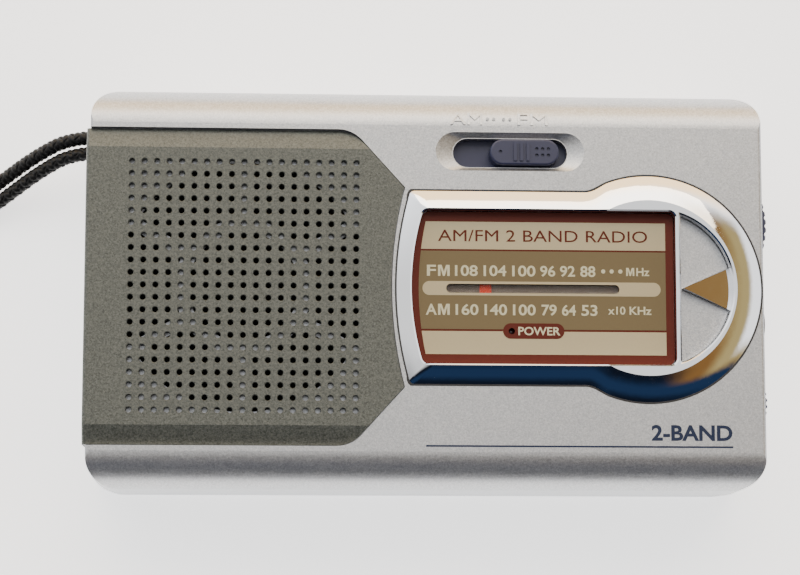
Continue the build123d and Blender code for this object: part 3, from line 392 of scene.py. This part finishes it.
def strap_cord():
    s = Shader("strap_cord")
    fibre = s.noise(0.12, 3.0)
    tone = s.noise(1.6, 2.0)
    dark = s.mixed(tone, (0.0008, 0.0008, 0.001), (0.003, 0.003, 0.0035))
    # The lighter fibre flecks mixed into the base colour are painted highlights on the yarn; the same fibre
    # noise also gives the real texture to roughness and bump.
    s.set(Base_Color=s.mixed(s.ranged(fibre, 0, 0.5, 0.5, 0.8), dark, (0.03, 0.032, 0.036)))
    s.set(Roughness=s.ranged(fibre, 0.3, 0.55), Specular_IOR_Level=0.3)
    s.bump(fibre, 0.05, 0.8)
    return s.material


MATERIALS = {
    "silver_case": silver_case(),
    "grille_paint": grille_paint(),
    "chrome": chrome(),
    "dial_print": printed_ink("dial_print", (0.105, 0.020, 0.013)),
    "clear_plastic": clear_plastic(),
    "backing": moulded("backing", (0.30, 0.26, 0.23), 0.6),
    "pointer_red": moulded("pointer_red", (0.95, 0.06, 0.012), 0.35),
    "dark_plastic": moulded("dark_plastic", (0.024, 0.028, 0.072), 0.4),
    "black_plastic": moulded("black_plastic", (0.018, 0.018, 0.02), 0.42),
    "steel": plated("steel", (0.62, 0.62, 0.63), 0.3),
    "bright_metal": plated("bright_metal", (0.86, 0.86, 0.87), 0.12, (0.1, 1, 1)),
    "brass": plated("brass", (0.75, 0.55, 0.25), 0.28, (1, 1, 0.2)),
    "board": board(),
    "ferrite": moulded("ferrite", (0.045, 0.045, 0.05), 0.5, 0.4, 0.03),
    "copper_wire": copper_wire(),
    "paper_cone": paper_cone(),
    "magnet": moulded("magnet", (0.05, 0.05, 0.055), 0.6, 0.3, 0.03),
    "white_plastic": moulded("white_plastic", (0.70, 0.69, 0.63), 0.4),
    "lamp": moulded("lamp", (0.05, 0.008, 0.008), 0.15),
    "cell_jacket": cell_jacket(),
    "cap_sleeve": moulded("cap_sleeve", (0.02, 0.035, 0.10), 0.25),
    "wire_sleeve": moulded("wire_sleeve", (0.33, 0.02, 0.02), 0.4),
    "strap_cord": strap_cord(),
    "cord_thread": moulded("cord_thread", (0.62, 0.60, 0.52), 0.8, 0.1, 0.05),
}
INKS = {
    "cream": printed_ink("ink_cream", (0.50, 0.44, 0.29)),
    "khaki": printed_ink("ink_khaki", (0.175, 0.138, 0.075)),
    "letter": printed_ink("ink_letter", (0.62, 0.60, 0.43)),
    "brown": printed_ink("ink_brown", (0.105, 0.020, 0.013)),
    "navy": printed_ink("ink_navy", (0.025, 0.035, 0.075), 0.3),
}

for row in frame["record"]["subparts"]:
    mesh = NODES[row["node"]].data
    mesh.materials.clear()
    mesh.materials.append(MATERIALS[row["material_slot"]])


# ---- printed and raised pieces ----
def arc_points(cx, cy, radius, start, end, count=10):
    """Points along a circle's arc, angles in degrees."""
    turns = [math.radians(start + (end - start) * i / count) for i in range(count + 1)]
    return [(cx + radius * math.cos(t), cy + radius * math.sin(t)) for t in turns]


def circle_outline(cx, cy, radius):
    """A full circle, as points."""
    return arc_points(cx, cy, radius, 0, 360 - 360 / CIRCLE_SIDES, CIRCLE_SIDES - 1)


def rounded_outline(x, y, radius):
    """A rectangle with rounded corners, as points."""
    points = []
    corners = ((x[1] - radius, y[1] - radius, 0), (x[0] + radius, y[1] - radius, 90),
               (x[0] + radius, y[0] + radius, 180), (x[1] - radius, y[0] + radius, 270))
    for cx, cy, start in corners:
        points += arc_points(cx, cy, radius, start, start + 90)
    return points


def stadium_outline(x, y):
    """A slot outline with round ends, as points."""
    return rounded_outline(x, y, (y[1] - y[0]) / 2 - 0.001)


def finish_piece(mesh_object, material, body="case"):
    """A new piece with its material and the body it rides on."""
    mesh_object.data.materials.clear()
    mesh_object.data.materials.append(material)
    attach(mesh_object, body)
    return mesh_object


def curve_to_mesh(name, curve_object):
    """A mesh object from a curve or text object, which is then removed."""
    bpy.context.view_layer.update()
    deps = bpy.context.evaluated_depsgraph_get()
    mesh = bpy.data.meshes.new_from_object(curve_object.evaluated_get(deps))
    mesh.name = name
    bpy.data.objects.remove(curve_object)
    piece = bpy.data.objects.new(name, mesh)
    bpy.context.scene.collection.objects.link(piece)
    weld = bmesh.new()
    weld.from_mesh(mesh)
    bmesh.ops.remove_doubles(weld, verts=weld.verts, dist=1e-7)
    weld.to_mesh(mesh)
    weld.free()
    return piece


def flat_piece(name, loops, low, thick, material):
    """A thin plate between outlines in millimetres; outlines inside others are holes."""
    curve = bpy.data.curves.new(name, "CURVE")
    curve.dimensions = "2D"
    curve.fill_mode = "BOTH"
    curve.extrude = thick / 2 * MM
    for loop in loops:
        spline = curve.splines.new("POLY")
        spline.points.add(len(loop) - 1)
        for point, (x, y) in zip(spline.points, loop):
            point.co = ((x + SHIFT_X) * MM, y * MM, 0, 1)
        spline.use_cyclic_u = True
    source = bpy.data.objects.new(name, curve)
    bpy.context.scene.collection.objects.link(source)
    piece = curve_to_mesh(name, source)
    piece.data.transform(Matrix.Translation((0, 0, (low + thick / 2) * MM)))
    return finish_piece(piece, material)


def lettering(name, text, x, y, low, thick, material, slot_name, bold=0.0, surface=None):
    """Letters fitted to limits along X and Y, on a flat or given surface."""
    curve = bpy.data.curves.new(name, "FONT")
    curve.body = text
    curve.size = 1.0
    curve.offset = bold
    curve.extrude = 0.5
    curve.resolution_u = 4
    source = bpy.data.objects.new(name, curve)
    bpy.context.scene.collection.objects.link(source)
    piece = curve_to_mesh(name, source)
    xs = [v.co.x for v in piece.data.vertices]
    ys = [v.co.y for v in piece.data.vertices]
    wide = (x[1] - x[0]) / (max(xs) - min(xs))
    tall = (y[1] - y[0]) / (max(ys) - min(ys))
    for vertex in piece.data.vertices:
        px = x[0] + SHIFT_X + (vertex.co.x - min(xs)) * wide
        py = y[0] + (vertex.co.y - min(ys)) * tall
        base = surface(py) if surface else low
        vertex.co = (px * MM, py * MM, (base + (vertex.co.z + 0.5) * thick) * MM)
    return finish_piece(piece, material)


def field_left(y):
    """The left edge of the dial's printed fields at a height."""
    return FIELD_LEFT + FIELD_CURVE * (y / FIELD_HALF_H) ** 2


def dial_field(name, y, ink):
    """One printed field of the dial, its left edge following the bezel's bulge."""
    steps = [y[0] + (y[1] - y[0]) * i / FIELD_STEPS for i in range(FIELD_STEPS + 1)]
    left = [(field_left(v), v) for v in steps]
    led_x, led_y = LED_AT
    notch_x = (led_x - NOTCH_HALF, led_x + NOTCH_HALF)
    above = [(notch_x[0], y[1]), (notch_x[0], led_y - NOTCH_HALF), (notch_x[1], led_y - NOTCH_HALF),
             (notch_x[1], y[1])]
    below = [(notch_x[1], y[0]), (notch_x[1], led_y + NOTCH_HALF), (notch_x[0], led_y + NOTCH_HALF),
             (notch_x[0], y[0])]
    over_led = abs(y[0] - led_y) < NOTCH_HALF
    under_led = abs(y[1] - led_y) < NOTCH_HALF
    loop = left + (above if under_led else []) + [(FIELD_RIGHT, y[1]), (FIELD_RIGHT, y[0])]
    loops = [loop + (below if over_led else [])]
    if y[0] < SLOT_Y[0] < y[1]:
        loops.append(stadium_outline(SLOT_X, SLOT_Y))
    return flat_piece(name, loops, PLATE_Z, PRINT_THICK, INKS[ink])


def row_mark(name, text, x, y, ink):
    """One word of the dial's rows, in bold; the letter M is drawn by its corners."""
    layer = PLATE_Z + PRINT_THICK
    if text == "M":
        loop = [(x[0] + u * (x[1] - x[0]), y[0] + v * (y[1] - y[0])) for u, v in LETTER_M]
        return flat_piece(name, [loop], layer, PRINT_THICK, ink)
    return lettering(name, text, x, y, layer, PRINT_THICK, ink, "dial_print", BOLD)


def dial_printing():
    """The dial's fields, scale pill, power pill and lettering."""
    dial_field("dial_field_top", TOP_FIELD_Y, "cream")
    dial_field("dial_field_middle", MIDDLE_FIELD_Y, "khaki")
    dial_field("dial_field_bottom", BOTTOM_FIELD_Y, "cream")
    layer = PLATE_Z + PRINT_THICK
    pill = [stadium_outline(SCALE_PILL_X, SCALE_PILL_Y), stadium_outline(SLOT_X, SLOT_Y)]
    flat_piece("scale_pill", pill, layer, PRINT_THICK, INKS["cream"])
    power = [stadium_outline(POWER_PILL_X, POWER_PILL_Y), circle_outline(*LED_AT, LED_HOLE_R)]
    flat_piece("power_pill", power, layer, PRINT_THICK, INKS["brown"])
    ink = INKS["letter"]
    for label, y, words in ROWS:
        for index, (text, x0, x1) in enumerate(words):
            row_mark(f"{label}_mark_{index}", text, (x0, x1), y, ink)
    for index, x in enumerate(FM_DOTS_X):
        dot = circle_outline(x, FM_DOTS_Y, FM_DOT_R)
        flat_piece(f"fm_dot_{index}", [dot], layer, PRINT_THICK, ink)
    title = "AM/FM 2 BAND RADIO"
    lettering("dial_title", title, TITLE_X, TITLE_Y, layer, PRINT_THICK, INKS["brown"], "dial_print")
    over = layer + PRINT_THICK
    place = (POWER_WORD_X, POWER_WORD_Y, over)
    lettering("power_word", "POWER", *place, PRINT_THICK, ink, "dial_print", BOLD)


def face_height(y):
    """The front's height at a distance from the middle, over its rounded long edge."""
    over = max(abs(y) - FRONT_EDGE_START, 0)
    return FACE_Z - FRONT_EDGE_R + math.sqrt(FRONT_EDGE_R ** 2 - over ** 2)


def sunk_face(y):
    """The height just below the front's surface, where the raised marks start."""
    return face_height(y) - RAISED_SUNK


def case_marks():
    """The printed line and word on the case, and the raised band letters with their dots."""
    silver = MATERIALS["silver_case"]
    navy = INKS["navy"]
    place = (BAND_WORD_X, BAND_WORD_Y, FACE_Z)
    lettering("band_word", "2-BAND", *place, PRINT_THICK, navy, "silver_case", BAND_WORD_BOLD)
    left, right = TRIM_LINE_X
    low, high = TRIM_LINE_Y
    line = [(left, low), (right, low), (right, high), (left, high)]
    flat_piece("trim_line", [line], FACE_Z, PRINT_THICK, navy)
    for name, text, x in (("band_letters_am", "AM", RAISED_AM_X), ("band_letters_fm", "FM", RAISED_FM_X)):
        lettering(name, text, x, RAISED_Y, 0, RAISED_THICK, silver, "silver_case", surface=sunk_face)
    for index, x in enumerate(RAISED_DOTS_X):
        dot = circle_outline(x, RAISED_DOTS_Y, RAISED_DOT_R)
        base = sunk_face(RAISED_DOTS_Y)
        flat_piece(f"band_dot_{index}", [dot], base, RAISED_THICK, silver)


def bezel_edge(grow):
    """Plan of the bezel's edge, grown by a distance, as points."""
    half = BEZEL_HALF_H + grow
    left = BEZEL_LEFT - grow
    turn = math.radians(BEZEL_TURN)
    ends = (BEZEL_TURN, -BEZEL_TURN)
    round_end = arc_points(BEZEL_CIRCLE_X, 0, BEZEL_CIRCLE_R + grow, *ends, BEZEL_ROUND_STEPS)
    start = Vector((BEZEL_S_START, half))
    meet = Vector(round_end[0])
    chord = (meet - start).length
    leave = Vector((chord, 0))
    arrive = Vector((math.sin(turn), -math.cos(turn))) * chord
    upper = [(left + dx, half + dy) for dx, dy in BEZEL_CORNER]
    for index in range(BEZEL_S_STEPS + 1):
        t = index / BEZEL_S_STEPS
        place = start * (2 * t ** 3 - 3 * t ** 2 + 1) + leave * (t ** 3 - 2 * t ** 2 + t)
        place += meet * (3 * t ** 2 - 2 * t ** 3) + arrive * (t ** 3 - t ** 2)
        upper.append(tuple(place))
    lower = [(x, -y) for x, y in reversed(upper)]
    heights = range(-BEZEL_BULGE_END, BEZEL_BULGE_END + 1, 2)
    bulge = [(left - BEZEL_BULGE * (1 - (y / BEZEL_HALF_H) ** 2), y) for y in heights]
    return upper + round_end[1:-1] + lower + bulge


def painted_bezel_shadow():
    """A painted shadow: a thin black sheet on the face round the bezel, standing in for the shade in the gap
    there.
    """
    loops = [bezel_edge(BEZEL_SHADOW_W), bezel_edge(0.0)]
    flat_piece("painted_bezel_shadow", loops, FACE_Z, PRINT_THICK, MATERIALS["black_plastic"])


dial_printing()
case_marks()
painted_bezel_shadow()


# ---- wrist strap ----
def strap_line():
    """The strap's centre line: a smooth spline with the route's points as controls."""
    curve = bpy.data.curves.new("strap_line", "CURVE")
    curve.dimensions = "3D"
    curve.resolution_u = 24
    spline = curve.splines.new("NURBS")
    spline.points.add(len(STRAP_POINTS) - 1)
    for point, place in zip(spline.points, STRAP_POINTS):
        x, y, z = place
        point.co = ((x + SHIFT_X) * MM, y * MM, z * MM, 1)
    spline.order_u = 3
    spline.use_endpoint_u = True
    source = bpy.data.objects.new("strap_line", curve)
    bpy.context.scene.collection.objects.link(source)
    bpy.context.view_layer.update()
    deps = bpy.context.evaluated_depsgraph_get()
    mesh = bpy.data.meshes.new_from_object(source.evaluated_get(deps))
    points = [v.co.copy() for v in mesh.vertices]
    bpy.data.objects.remove(source)
    bpy.data.meshes.remove(mesh)
    return points


def evenly(points, step):
    """Points along a line at even steps."""
    result = [points[0].copy()]
    left = step
    for a, b in zip(points, points[1:]):
        run = (b - a).length
        at = 0.0
        while run - at > left:
            at += left
            result.append(a.lerp(b, at / run))
            left = step
        left -= run - at
    result.append(points[-1].copy())
    return result


def line_frames(points):
    """Each point of a line with two steady directions square to the line there."""
    frames = []
    side = Vector((0, 0, 1))
    for index, point in enumerate(points):
        ahead = points[min(index + 1, len(points) - 1)] - points[max(index - 1, 0)]
        ahead.normalize()
        side = (side - ahead * side.dot(ahead)).normalized()
        frames.append((point, side.copy(), ahead.cross(side)))
    return frames


BRAID_STRANDS = 4
BRAID_PITCH = 8.0
BRAID_WAVE = 0.19
STRAND_WIDE = 0.80
STRAND_THICK = 0.50
STRAND_SIDES = 8
STEP = 0.3


def make_strap():
    """The braided strap: strands wound both ways, each over and under the others in turn."""
    route = evenly(strap_line(), STEP * MM)
    frames = line_frames(route)
    verts = []
    faces = []
    around = STRAND_SIDES
    middle_r = STRAP_R - STRAND_THICK - BRAID_WAVE
    for way in (1, -1):
        for strand in range(BRAID_STRANDS):
            phase = 2 * math.pi * strand / BRAID_STRANDS
            start = len(verts)
            for index, (point, side, across) in enumerate(frames):
                wind = 2 * math.pi * index * STEP / BRAID_PITCH
                turn = way * wind + phase
                radius = middle_r + way * BRAID_WAVE * math.cos(BRAID_STRANDS * wind)
                out = side * math.cos(turn) + across * math.sin(turn)
                along = (across * math.cos(turn) - side * math.sin(turn)) * way
                for k in range(around):
                    t = 2 * math.pi * k / around
                    shift = out * (radius + STRAND_THICK * math.sin(t)) + along * STRAND_WIDE * math.cos(t)
                    verts.append(point + shift * MM)
            rings = len(frames)
            for ring in range(rings - 1):
                for k in range(around):
                    a = start + ring * around + k
                    b = start + ring * around + (k + 1) % around
                    quad = (a, b, b + around, a + around)
                    faces.append(quad if way > 0 else quad[::-1])
            first = [start + k for k in range(around)]
            last = [start + (rings - 1) * around + k for k in range(around)]
            faces.append(tuple(first[::-1] if way > 0 else first))
            faces.append(tuple(last if way > 0 else last[::-1]))
    mesh = bpy.data.meshes.new("strap_braid")
    mesh.from_pydata(verts, [], faces)
    mesh.shade_smooth()
    strap = bpy.data.objects.new("strap_braid", mesh)
    bpy.context.scene.collection.objects.link(strap)
    finish_piece(strap, MATERIALS["strap_cord"])
    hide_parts("wrist_strap")


make_strap()


# ---- lights and floor ----
FLOOR_HALF = 2.0
FLOOR_GLOW = 1.7
CREAM = (3.0, 2.1, 1.15)
SKY = (2.2, 2.25, 2.35)
ZENITH = (1.15, 1.15, 1.15)
DUSK = (0.006, 0.009, 0.018)
NAVY = (0.014, 0.034, 0.085)
BRONZE = (0.26, 0.13, 0.04)
OLIVE = (0.52, 0.40, 0.17)
PALE = (1.7, 1.7, 1.72)
KEY_PLACE = (0.05, 0.55, 0.75)
KEY_SIZE = (0.9, 0.45)
KEY_POWER = 4
KEY_COLOUR = (1.0, 0.86, 0.66)


def make_key_light():
    """A warm rectangular soft light behind and above, turned to the middle of the floor."""
    data = bpy.data.lights.new("key", "AREA")
    data.shape = "RECTANGLE"
    data.size, data.size_y = KEY_SIZE
    data.energy = KEY_POWER
    data.color = KEY_COLOUR
    light = bpy.data.objects.new("key", data)
    light.location = KEY_PLACE
    light.rotation_euler = (-Vector(KEY_PLACE)).to_track_quat("-Z", "Y").to_euler()
    bpy.context.scene.collection.objects.link(light)


def make_floor():
    """A pale, softly glowing sheet under the radio, as on a light table."""
    mesh = bpy.data.meshes.new("floor")
    half = FLOOR_HALF
    corners = [(-half, -half, 0), (half, -half, 0), (half, half, 0), (-half, half, 0)]
    mesh.from_pydata(corners, [], [(0, 1, 2, 3)])
    floor = bpy.data.objects.new("floor", mesh)
    sheet = Shader("floor")
    sheet.set(Base_Color=(0.93, 0.93, 0.94), Roughness=0.85)
    sheet.set(Emission_Color=(1.0, 1.0, 1.0), Emission_Strength=FLOOR_GLOW)
    mesh.materials.append(sheet.material)
    bpy.context.scene.collection.objects.link(floor)


class Sky:
    """The studio round the radio: one colour for each direction, with soft borders."""

    def __init__(self):
        world = bpy.data.worlds.new("studio")
        bpy.context.scene.world = world
        world.use_nodes = True
        self.tree = world.node_tree
        self.background = self.tree.nodes["Background"]
        place = self.tree.nodes.new("ShaderNodeTexCoord").outputs["Generated"]
        split = self.tree.nodes.new("ShaderNodeSeparateXYZ")
        self.tree.links.new(place, split.inputs["Vector"])
        self.axes = split.outputs
        self.colour = self.tree.nodes.new("ShaderNodeRGB").outputs["Color"]

    def start(self, colour):
        """The colour of every direction that nothing else covers."""
        self.colour.default_value = (*colour, 1)

    def ramp(self, axis, start, end):
        """A share that grows from 0 to 1 as the direction's X, Y or Z goes from start to end."""
        node = self.tree.nodes.new("ShaderNodeMapRange")
        node.interpolation_type = "SMOOTHSTEP"
        low, high = min(start, end), max(start, end)
        self.tree.links.new(self.axes[axis], node.inputs["Value"])
        node.inputs["From Min"].default_value = low
        node.inputs["From Max"].default_value = high
        node.inputs["To Min"].default_value = 0.0 if start < end else 1.0
        node.inputs["To Max"].default_value = 1.0 if start < end else 0.0
        return node.outputs["Result"]

    def cover(self, colour, *shares):
        """Lays a colour over the directions where all the shares are 1."""
        total = shares[0]
        for share in shares[1:]:
            node = self.tree.nodes.new("ShaderNodeMath")
            node.operation = "MULTIPLY"
            self.tree.links.new(total, node.inputs[0])
            self.tree.links.new(share, node.inputs[1])
            total = node.outputs[0]
        mix = self.tree.nodes.new("ShaderNodeMix")
        mix.data_type = "RGBA"
        self.tree.links.new(total, mix.inputs["Factor"])
        self.tree.links.new(self.colour, mix.inputs[6])
        mix.inputs[7].default_value = (*colour, 1)
        self.colour = mix.outputs[2]

    def finish(self):
        """Links the last colour to the background."""
        self.tree.links.new(self.colour, self.background.inputs["Color"])
        self.background.inputs["Strength"].default_value = 1.0


def make_world():
    """A bright back, cream low down, a bronze wall at the right, a dark front, a pale horizon."""
    sky = Sky()
    sky.start(ZENITH)
    sky.cover(SKY, sky.ramp("Y", 0.12, 0.55))
    sky.cover(CREAM, sky.ramp("Y", 0.55, 0.86))
    sky.cover(DUSK, sky.ramp("Y", 0.0, -0.26))
    sky.cover(NAVY, sky.ramp("Y", -0.26, -0.5))
    sky.cover(DUSK, sky.ramp("Y", -0.62, -0.9))
    aside = (sky.ramp("Y", 0.7, 0.4), sky.ramp("Y", -0.52, -0.34))
    sky.cover(BRONZE, sky.ramp("X", 0.2, 0.4), *aside)
    sky.cover(OLIVE, sky.ramp("X", 0.42, 0.6), *aside)
    sky.cover(PALE, sky.ramp("X", 0.68, 0.84), sky.ramp("Y", -0.4, -0.2))
    sky.cover(PALE, sky.ramp("Z", 0.2, 0.06))
    sky.finish()


make_floor()
make_world()
make_key_light()
